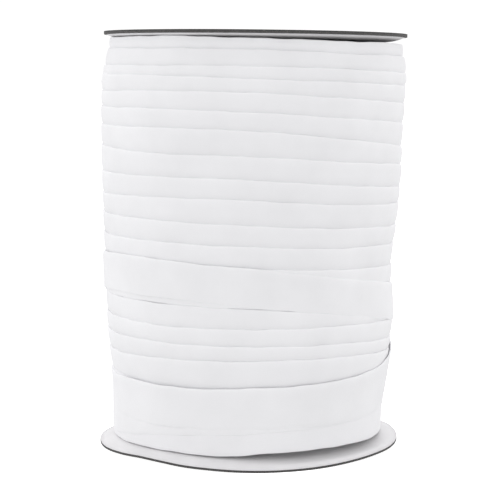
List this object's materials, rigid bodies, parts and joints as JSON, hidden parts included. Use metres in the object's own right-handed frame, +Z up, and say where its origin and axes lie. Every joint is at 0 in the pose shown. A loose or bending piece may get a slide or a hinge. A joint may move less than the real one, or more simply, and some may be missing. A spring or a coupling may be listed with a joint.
{
  "type": "roll of bias tape",
  "caption": "Tall reel of plain folded bias tape, wound in sloping overlapping turns between thin flat board discs.",
  "frame": {"origin": "on the floor that the reel stands on, under the middle of its leaning form", "axes": "+Z up the reel, -Y towards the front seen in the picture, +X to the right of that front"},
  "size_m": [0.1626, 0.1592, 0.2166],
  "materials": {
    "tape": "matt plain weave",
    "board": "matt grey board"
  },
  "bodies": {
    "root": {"disc_bottom": "board", "tape_roll": "tape", "disc_top": "board"}
  },
  "joints": []
}
